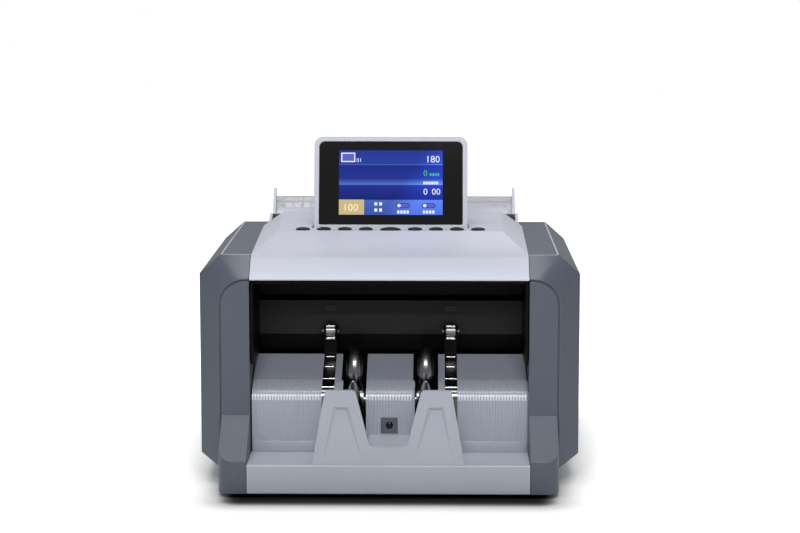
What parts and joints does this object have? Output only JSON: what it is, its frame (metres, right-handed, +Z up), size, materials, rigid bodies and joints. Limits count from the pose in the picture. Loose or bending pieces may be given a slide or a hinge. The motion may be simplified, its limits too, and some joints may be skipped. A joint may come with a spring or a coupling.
{
  "type": "banknote counter",
  "caption": "Desktop banknote counter with a rear top hopper, open front stacker with finned wheels and a forked stop, a key row and a tilting colour display.",
  "frame": {"origin": "on the table, under the middle of the machine's overall box", "axes": "+Z up, +X to the right of a user who faces the note throat, the throat faces -Y"},
  "size_m": [0.2638, 0.256, 0.238],
  "materials": {
    "light_plastic": "fine satin moulded plastic, pale blue-grey",
    "tray_plastic": "fine satin moulded plastic, mid grey",
    "dark_plastic": "fine satin moulded plastic, dark blue-grey",
    "black_plastic": "satin black moulded plastic",
    "gloss_black": "glossy black moulded plastic",
    "chrome": "polished",
    "steel": "plain zinc-plated steel",
    "brass": "turned",
    "rubber": "matt rubber",
    "clear_plastic": "clear moulded plastic",
    "screen_glass": "black-printed cover glass",
    "screen_panel": "lit colour display panel",
    "circuit_board": "green solder mask"
  },
  "bodies": {
    "root": {"base_tray": "tray_plastic", "rubber_feet": "rubber", "stack_stop": "tray_plastic", "stacker_plate": "light_plastic", "stack_sensor": "dark_plastic", "guide_strips": "chrome", "left_pillar": "dark_plastic", "right_pillar": "dark_plastic", "left_side_cover": "dark_plastic", "right_side_cover": "dark_plastic", "top_cover": "light_plastic", "exit_guide": "black_plastic", "exit_roller_pins": "brass", "hopper_floor": "light_plastic", "hopper_back_plate": "clear_plastic", "rear_panel": "dark_plastic", "case_screws": "steel", "power_inlet": "black_plastic", "display_hinge_pins": "steel", "key_board": "circuit_board", "left_side_plate": "steel", "right_side_plate": "steel", "tie_rods": "steel", "shaft_bushes": "brass", "speed_sensor": "black_plastic", "friction_pad": "rubber", "motor": "steel", "drive_belts": "rubber", "sensor_bars": "dark_plastic", "main_board": "circuit_board", "power_board": "circuit_board"},
    "stacker_rotor": {"stacker_shaft": "steel", "left_stacker_wheel": "gloss_black", "right_stacker_wheel": "gloss_black", "stacker_pulley": "gloss_black"},
    "feed_rotor": {"feed_shaft": "steel", "feed_rollers": "rubber", "feed_pulley": "gloss_black", "encoder_disc": "black_plastic"},
    "pickup_rotor": {"pickup_shaft": "steel", "pickup_rollers": "rubber", "pickup_pulley": "gloss_black"},
    "motor_rotor": {"motor_rotor": "steel"},
    "left_exit_roller": {"left_exit_roller": "chrome"},
    "right_exit_roller": {"right_exit_roller": "chrome"},
    "display": {"display_housing": "light_plastic", "display_glass": "screen_glass", "display_panel": "screen_panel"},
    "left_hopper_guide": {"left_hopper_guide": "light_plastic"},
    "right_hopper_guide": {"right_hopper_guide": "light_plastic"},
    "power_switch": {"power_switch": "black_plastic"},
    "key_1": {"key_1": "gloss_black"},
    "key_2": {"key_2": "gloss_black"},
    "key_3": {"key_3": "gloss_black"},
    "key_4": {"key_4": "gloss_black"},
    "key_5": {"key_5": "gloss_black"},
    "key_6": {"key_6": "gloss_black"},
    "key_7": {"key_7": "gloss_black"},
    "key_8": {"key_8": "gloss_black"},
    "key_9": {"key_9": "gloss_black"}
  },
  "joints": [
    {"name": "feed_spin", "type": "hinge", "parent": "root", "child": "feed_rotor", "pos_m": [0, 0.022, 0.10392], "axis": [1, 0, 0], "continuous": true},
    {"name": "stacker_spin", "type": "hinge", "parent": "root", "child": "stacker_rotor", "pos_m": [0, -0.052, 0.0535], "axis": [1, 0, 0], "continuous": true},
    {"name": "pickup_spin", "type": "hinge", "parent": "root", "child": "pickup_rotor", "pos_m": [0, 0.07, 0.13597], "axis": [1, 0, 0], "continuous": true},
    {"name": "motor_spin", "type": "hinge", "parent": "root", "child": "motor_rotor", "pos_m": [0, 0.077, 0.05192], "axis": [1, 0, 0], "continuous": true},
    {"name": "left_exit_roller_spin", "type": "hinge", "parent": "root", "child": "left_exit_roller", "pos_m": [-0.0428, -0.038, 0.10042], "axis": [1, 0, 0], "continuous": true},
    {"name": "right_exit_roller_spin", "type": "hinge", "parent": "root", "child": "right_exit_roller", "pos_m": [0.0428, -0.038, 0.10042], "axis": [1, 0, 0], "continuous": true},
    {"name": "display_tilt", "type": "hinge", "parent": "root", "child": "display", "pos_m": [0, -0.034, 0.172], "axis": [1, 0, 0], "range_deg": [-35, 10]},
    {"name": "left_guide_slide", "type": "slide", "parent": "root", "child": "left_hopper_guide", "axis": [1, 0, 0], "range_m": [0, 0.036]},
    {"name": "right_guide_slide", "type": "slide", "parent": "root", "child": "right_hopper_guide", "axis": [-1, 0, 0], "range_m": [0, 0.036]},
    {"name": "power_switch_rock", "type": "hinge", "parent": "root", "child": "power_switch", "pos_m": [0.03, 0.1175, 0.034], "axis": [1, 0, 0], "range_deg": [-14, 0]},
    {"name": "key_1_press", "type": "slide", "parent": "root", "child": "key_1", "axis": [0, 0, -1], "range_m": [0, 0.0012], "stiffness_N_per_m": 400, "springref_m": -0.001},
    {"name": "key_2_press", "type": "slide", "parent": "root", "child": "key_2", "axis": [0, 0, -1], "range_m": [0, 0.0012], "stiffness_N_per_m": 400, "springref_m": -0.001},
    {"name": "key_3_press", "type": "slide", "parent": "root", "child": "key_3", "axis": [0, 0, -1], "range_m": [0, 0.0012], "stiffness_N_per_m": 400, "springref_m": -0.001},
    {"name": "key_4_press", "type": "slide", "parent": "root", "child": "key_4", "axis": [0, 0, -1], "range_m": [0, 0.0012], "stiffness_N_per_m": 400, "springref_m": -0.001},
    {"name": "key_5_press", "type": "slide", "parent": "root", "child": "key_5", "axis": [0, 0, -1], "range_m": [0, 0.0012], "stiffness_N_per_m": 400, "springref_m": -0.001},
    {"name": "key_6_press", "type": "slide", "parent": "root", "child": "key_6", "axis": [0, 0, -1], "range_m": [0, 0.0012], "stiffness_N_per_m": 400, "springref_m": -0.001},
    {"name": "key_7_press", "type": "slide", "parent": "root", "child": "key_7", "axis": [0, 0, -1], "range_m": [0, 0.0012], "stiffness_N_per_m": 400, "springref_m": -0.001},
    {"name": "key_8_press", "type": "slide", "parent": "root", "child": "key_8", "axis": [0, 0, -1], "range_m": [0, 0.0012], "stiffness_N_per_m": 400, "springref_m": -0.001},
    {"name": "key_9_press", "type": "slide", "parent": "root", "child": "key_9", "axis": [0, 0, -1], "range_m": [0, 0.0012], "stiffness_N_per_m": 400, "springref_m": -0.001}
  ],
  "couplings": [
    {"joint": "motor_spin", "follows": "feed_spin", "ratio": 1.5556},
    {"joint": "stacker_spin", "follows": "feed_spin", "ratio": 0.7},
    {"joint": "pickup_spin", "follows": "feed_spin", "ratio": 1}
  ]
}
